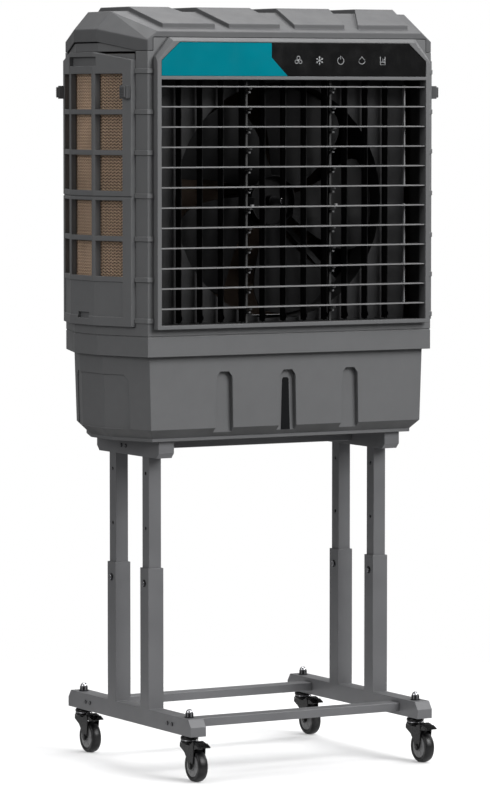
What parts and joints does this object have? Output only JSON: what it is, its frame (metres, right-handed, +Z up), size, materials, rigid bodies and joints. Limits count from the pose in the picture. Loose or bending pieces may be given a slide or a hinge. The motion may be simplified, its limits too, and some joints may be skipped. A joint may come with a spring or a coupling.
{
  "type": "evaporative cooler",
  "caption": "Large faceted evaporative air cooler with louvred outlet, side pad panels and a water tank, on a height-adjustable tube stand with braked swivel casters.",
  "frame": {"origin": "on the floor, under the middle of the overall box", "axes": "+Z up, -Y towards the front (the air outlet and control panel), +X towards the outlet's right as seen from the front"},
  "size_m": [0.894, 0.6446, 1.7847],
  "materials": {
    "stand_paint": "satin",
    "black_steel": "gloss",
    "tyre": "matte",
    "grey_plastic": "satin",
    "dark_plastic": "satin",
    "slat_plastic": "satin",
    "vane_plastic": "matte",
    "control_gloss": "gloss",
    "pad_fibre": "matte",
    "motor_paint": "satin"
  },
  "bodies": {
    "base": {"base_frame_left": "stand_paint", "base_frame_right": "stand_paint", "base_rail_front": "stand_paint", "base_rail_rear": "stand_paint"},
    "upper": {"upper_frame_left": "stand_paint", "upper_frame_right": "stand_paint", "upper_rail": "stand_paint", "water_tank": "grey_plastic", "cabinet_shell": "grey_plastic", "front_bezel": "grey_plastic", "control_panel": "control_gloss", "top_cover": "grey_plastic", "fan_shroud": "dark_plastic", "fan_motor": "motor_paint", "water_distributor": "dark_plastic", "pump": "dark_plastic"},
    "fan": {"fan_rotor": "dark_plastic"},
    "left_cassette": {"left_panel": "grey_plastic", "left_pad": "pad_fibre"},
    "right_cassette": {"right_panel": "grey_plastic", "right_pad": "pad_fibre"},
    "rear_cassette": {"rear_panel": "grey_plastic", "rear_pad": "pad_fibre"},
    "louvre_01": {"louvre_01": "slat_plastic"},
    "louvre_02": {"louvre_02": "slat_plastic"},
    "louvre_03": {"louvre_03": "slat_plastic"},
    "louvre_04": {"louvre_04": "slat_plastic"},
    "louvre_05": {"louvre_05": "slat_plastic"},
    "louvre_06": {"louvre_06": "slat_plastic"},
    "louvre_07": {"louvre_07": "slat_plastic"},
    "louvre_08": {"louvre_08": "slat_plastic"},
    "louvre_09": {"louvre_09": "slat_plastic"},
    "louvre_10": {"louvre_10": "slat_plastic"},
    "louvre_11": {"louvre_11": "slat_plastic"},
    "louvre_12": {"louvre_12": "slat_plastic"},
    "upper_link": {"upper_link": "slat_plastic"},
    "lower_link": {"lower_link": "slat_plastic"},
    "vane_01": {"vane_01": "vane_plastic"},
    "vane_02": {"vane_02": "vane_plastic"},
    "vane_03": {"vane_03": "vane_plastic"},
    "vane_04": {"vane_04": "vane_plastic"},
    "vane_05": {"vane_05": "vane_plastic"},
    "vane_06": {"vane_06": "vane_plastic"},
    "vane_07": {"vane_07": "vane_plastic"},
    "vane_08": {"vane_08": "vane_plastic"},
    "vane_09": {"vane_09": "vane_plastic"},
    "vane_10": {"vane_10": "vane_plastic"},
    "vane_11": {"vane_11": "vane_plastic"},
    "caster_front_left": {"caster_fork_front_left": "black_steel"},
    "wheel_front_left": {"caster_wheel_front_left": "tyre"},
    "brake_front_left": {"caster_brake_front_left": "black_steel"},
    "caster_front_right": {"caster_fork_front_right": "black_steel"},
    "wheel_front_right": {"caster_wheel_front_right": "tyre"},
    "brake_front_right": {"caster_brake_front_right": "black_steel"},
    "caster_rear_left": {"caster_fork_rear_left": "black_steel"},
    "wheel_rear_left": {"caster_wheel_rear_left": "tyre"},
    "brake_rear_left": {"caster_brake_rear_left": "black_steel"},
    "caster_rear_right": {"caster_fork_rear_right": "black_steel"},
    "wheel_rear_right": {"caster_wheel_rear_right": "tyre"},
    "brake_rear_right": {"caster_brake_rear_right": "black_steel"}
  },
  "joints": [
    {"name": "height_adjust", "type": "slide", "parent": "base", "child": "upper", "axis": [0, 0, 1], "range_m": [-0.258, 0]},
    {"name": "fan_spin", "type": "hinge", "parent": "upper", "child": "fan", "pos_m": [0, -0.08605, 1.33245], "axis": [0, 1, 0], "continuous": true},
    {"name": "louvre_01_tilt", "type": "hinge", "parent": "upper", "child": "louvre_01", "pos_m": [0, -0.19505, 1.5989], "axis": [1, 0, 0], "range_deg": [-35, 35]},
    {"name": "louvre_02_tilt", "type": "hinge", "parent": "upper", "child": "louvre_02", "pos_m": [0, -0.19505, 1.5524], "axis": [1, 0, 0], "range_deg": [-35, 35]},
    {"name": "louvre_03_tilt", "type": "hinge", "parent": "upper", "child": "louvre_03", "pos_m": [0, -0.19505, 1.5059], "axis": [1, 0, 0], "range_deg": [-35, 35]},
    {"name": "louvre_04_tilt", "type": "hinge", "parent": "upper", "child": "louvre_04", "pos_m": [0, -0.19505, 1.4594], "axis": [1, 0, 0], "range_deg": [-35, 35]},
    {"name": "louvre_05_tilt", "type": "hinge", "parent": "upper", "child": "louvre_05", "pos_m": [0, -0.19505, 1.4129], "axis": [1, 0, 0], "range_deg": [-35, 35]},
    {"name": "louvre_06_tilt", "type": "hinge", "parent": "upper", "child": "louvre_06", "pos_m": [0, -0.19505, 1.3664], "axis": [1, 0, 0], "range_deg": [-35, 35]},
    {"name": "louvre_07_tilt", "type": "hinge", "parent": "upper", "child": "louvre_07", "pos_m": [0, -0.19505, 1.3199], "axis": [1, 0, 0], "range_deg": [-35, 35]},
    {"name": "louvre_08_tilt", "type": "hinge", "parent": "upper", "child": "louvre_08", "pos_m": [0, -0.19505, 1.2734], "axis": [1, 0, 0], "range_deg": [-35, 35]},
    {"name": "louvre_09_tilt", "type": "hinge", "parent": "upper", "child": "louvre_09", "pos_m": [0, -0.19505, 1.2269], "axis": [1, 0, 0], "range_deg": [-35, 35]},
    {"name": "louvre_10_tilt", "type": "hinge", "parent": "upper", "child": "louvre_10", "pos_m": [0, -0.19505, 1.1804], "axis": [1, 0, 0], "range_deg": [-35, 35]},
    {"name": "louvre_11_tilt", "type": "hinge", "parent": "upper", "child": "louvre_11", "pos_m": [0, -0.19505, 1.1339], "axis": [1, 0, 0], "range_deg": [-35, 35]},
    {"name": "louvre_12_tilt", "type": "hinge", "parent": "upper", "child": "louvre_12", "pos_m": [0, -0.19505, 1.0874], "axis": [1, 0, 0], "range_deg": [-35, 35]},
    {"name": "upper_link_swing", "type": "hinge", "parent": "louvre_01", "child": "upper_link", "pos_m": [0.3173, -0.17505, 1.5989], "axis": [1, 0, 0], "range_deg": [-35, 35]},
    {"name": "lower_link_swing", "type": "hinge", "parent": "louvre_07", "child": "lower_link", "pos_m": [0.3173, -0.17505, 1.3199], "axis": [1, 0, 0], "range_deg": [-35, 35]},
    {"name": "vane_01_turn", "type": "hinge", "parent": "upper", "child": "vane_01", "pos_m": [-0.279, -0.15105, 1.33245], "axis": [0, 0, 1], "range_deg": [-35, 35]},
    {"name": "vane_02_turn", "type": "hinge", "parent": "upper", "child": "vane_02", "pos_m": [-0.2232, -0.15105, 1.33245], "axis": [0, 0, 1], "range_deg": [-35, 35]},
    {"name": "vane_03_turn", "type": "hinge", "parent": "upper", "child": "vane_03", "pos_m": [-0.1674, -0.15105, 1.33245], "axis": [0, 0, 1], "range_deg": [-35, 35]},
    {"name": "vane_04_turn", "type": "hinge", "parent": "upper", "child": "vane_04", "pos_m": [-0.1116, -0.15105, 1.33245], "axis": [0, 0, 1], "range_deg": [-35, 35]},
    {"name": "vane_05_turn", "type": "hinge", "parent": "upper", "child": "vane_05", "pos_m": [-0.0558, -0.15105, 1.33245], "axis": [0, 0, 1], "range_deg": [-35, 35]},
    {"name": "vane_06_turn", "type": "hinge", "parent": "upper", "child": "vane_06", "pos_m": [0, -0.15105, 1.33245], "axis": [0, 0, 1], "range_deg": [-35, 35]},
    {"name": "vane_07_turn", "type": "hinge", "parent": "upper", "child": "vane_07", "pos_m": [0.0558, -0.15105, 1.33245], "axis": [0, 0, 1], "range_deg": [-35, 35]},
    {"name": "vane_08_turn", "type": "hinge", "parent": "upper", "child": "vane_08", "pos_m": [0.1116, -0.15105, 1.33245], "axis": [0, 0, 1], "range_deg": [-35, 35]},
    {"name": "vane_09_turn", "type": "hinge", "parent": "upper", "child": "vane_09", "pos_m": [0.1674, -0.15105, 1.33245], "axis": [0, 0, 1], "range_deg": [-35, 35]},
    {"name": "vane_10_turn", "type": "hinge", "parent": "upper", "child": "vane_10", "pos_m": [0.2232, -0.15105, 1.33245], "axis": [0, 0, 1], "range_deg": [-35, 35]},
    {"name": "vane_11_turn", "type": "hinge", "parent": "upper", "child": "vane_11", "pos_m": [0.279, -0.15105, 1.33245], "axis": [0, 0, 1], "range_deg": [-35, 35]},
    {"name": "swivel_front_left", "type": "hinge", "parent": "base", "child": "caster_front_left", "pos_m": [-0.3064, -0.25105, 0.095], "axis": [0, 0, 1], "continuous": true},
    {"name": "roll_front_left", "type": "hinge", "parent": "caster_front_left", "child": "wheel_front_left", "pos_m": [-0.3064, -0.28405, 0.0375], "axis": [1, 0, 0], "continuous": true},
    {"name": "brake_press_front_left", "type": "hinge", "parent": "caster_front_left", "child": "brake_front_left", "pos_m": [-0.3064, -0.29105, 0.091], "axis": [1, 0, 0], "range_deg": [0, 20]},
    {"name": "swivel_front_right", "type": "hinge", "parent": "base", "child": "caster_front_right", "pos_m": [0.3064, -0.25105, 0.095], "axis": [0, 0, 1], "continuous": true},
    {"name": "roll_front_right", "type": "hinge", "parent": "caster_front_right", "child": "wheel_front_right", "pos_m": [0.3064, -0.28405, 0.0375], "axis": [1, 0, 0], "continuous": true},
    {"name": "brake_press_front_right", "type": "hinge", "parent": "caster_front_right", "child": "brake_front_right", "pos_m": [0.3064, -0.29105, 0.091], "axis": [1, 0, 0], "range_deg": [0, 20]},
    {"name": "swivel_rear_left", "type": "hinge", "parent": "base", "child": "caster_rear_left", "pos_m": [-0.3064, 0.27895, 0.095], "axis": [0, 0, 1], "continuous": true},
    {"name": "roll_rear_left", "type": "hinge", "parent": "caster_rear_left", "child": "wheel_rear_left", "pos_m": [-0.3064, 0.24595, 0.0375], "axis": [1, 0, 0], "continuous": true},
    {"name": "brake_press_rear_left", "type": "hinge", "parent": "caster_rear_left", "child": "brake_rear_left", "pos_m": [-0.3064, 0.23895, 0.091], "axis": [1, 0, 0], "range_deg": [0, 20]},
    {"name": "swivel_rear_right", "type": "hinge", "parent": "base", "child": "caster_rear_right", "pos_m": [0.3064, 0.27895, 0.095], "axis": [0, 0, 1], "continuous": true},
    {"name": "roll_rear_right", "type": "hinge", "parent": "caster_rear_right", "child": "wheel_rear_right", "pos_m": [0.3064, 0.24595, 0.0375], "axis": [1, 0, 0], "continuous": true},
    {"name": "brake_press_rear_right", "type": "hinge", "parent": "caster_rear_right", "child": "brake_rear_right", "pos_m": [0.3064, 0.23895, 0.091], "axis": [1, 0, 0], "range_deg": [0, 20]},
    {"name": "left_cassette_pull", "type": "slide", "parent": "upper", "child": "left_cassette", "axis": [-1, 0, 0], "range_m": [0, 0.12]},
    {"name": "right_cassette_pull", "type": "slide", "parent": "upper", "child": "right_cassette", "axis": [1, 0, 0], "range_m": [0, 0.12]},
    {"name": "rear_cassette_pull", "type": "slide", "parent": "upper", "child": "rear_cassette", "axis": [0, 1, 0], "range_m": [0, 0.12]}
  ],
  "couplings": [
    {"joint": "louvre_02_tilt", "follows": "louvre_01_tilt", "ratio": 1},
    {"joint": "louvre_03_tilt", "follows": "louvre_01_tilt", "ratio": 1},
    {"joint": "louvre_04_tilt", "follows": "louvre_01_tilt", "ratio": 1},
    {"joint": "louvre_05_tilt", "follows": "louvre_01_tilt", "ratio": 1},
    {"joint": "louvre_06_tilt", "follows": "louvre_01_tilt", "ratio": 1},
    {"joint": "upper_link_swing", "follows": "louvre_01_tilt", "ratio": -1},
    {"joint": "louvre_08_tilt", "follows": "louvre_07_tilt", "ratio": 1},
    {"joint": "louvre_09_tilt", "follows": "louvre_07_tilt", "ratio": 1},
    {"joint": "louvre_10_tilt", "follows": "louvre_07_tilt", "ratio": 1},
    {"joint": "louvre_11_tilt", "follows": "louvre_07_tilt", "ratio": 1},
    {"joint": "louvre_12_tilt", "follows": "louvre_07_tilt", "ratio": 1},
    {"joint": "lower_link_swing", "follows": "louvre_07_tilt", "ratio": -1},
    {"joint": "vane_02_turn", "follows": "vane_01_turn", "ratio": 1},
    {"joint": "vane_03_turn", "follows": "vane_01_turn", "ratio": 1},
    {"joint": "vane_04_turn", "follows": "vane_01_turn", "ratio": 1},
    {"joint": "vane_05_turn", "follows": "vane_01_turn", "ratio": 1},
    {"joint": "vane_06_turn", "follows": "vane_01_turn", "ratio": 1},
    {"joint": "vane_07_turn", "follows": "vane_01_turn", "ratio": 1},
    {"joint": "vane_08_turn", "follows": "vane_01_turn", "ratio": 1},
    {"joint": "vane_09_turn", "follows": "vane_01_turn", "ratio": 1},
    {"joint": "vane_10_turn", "follows": "vane_01_turn", "ratio": 1},
    {"joint": "vane_11_turn", "follows": "vane_01_turn", "ratio": 1}
  ]
}
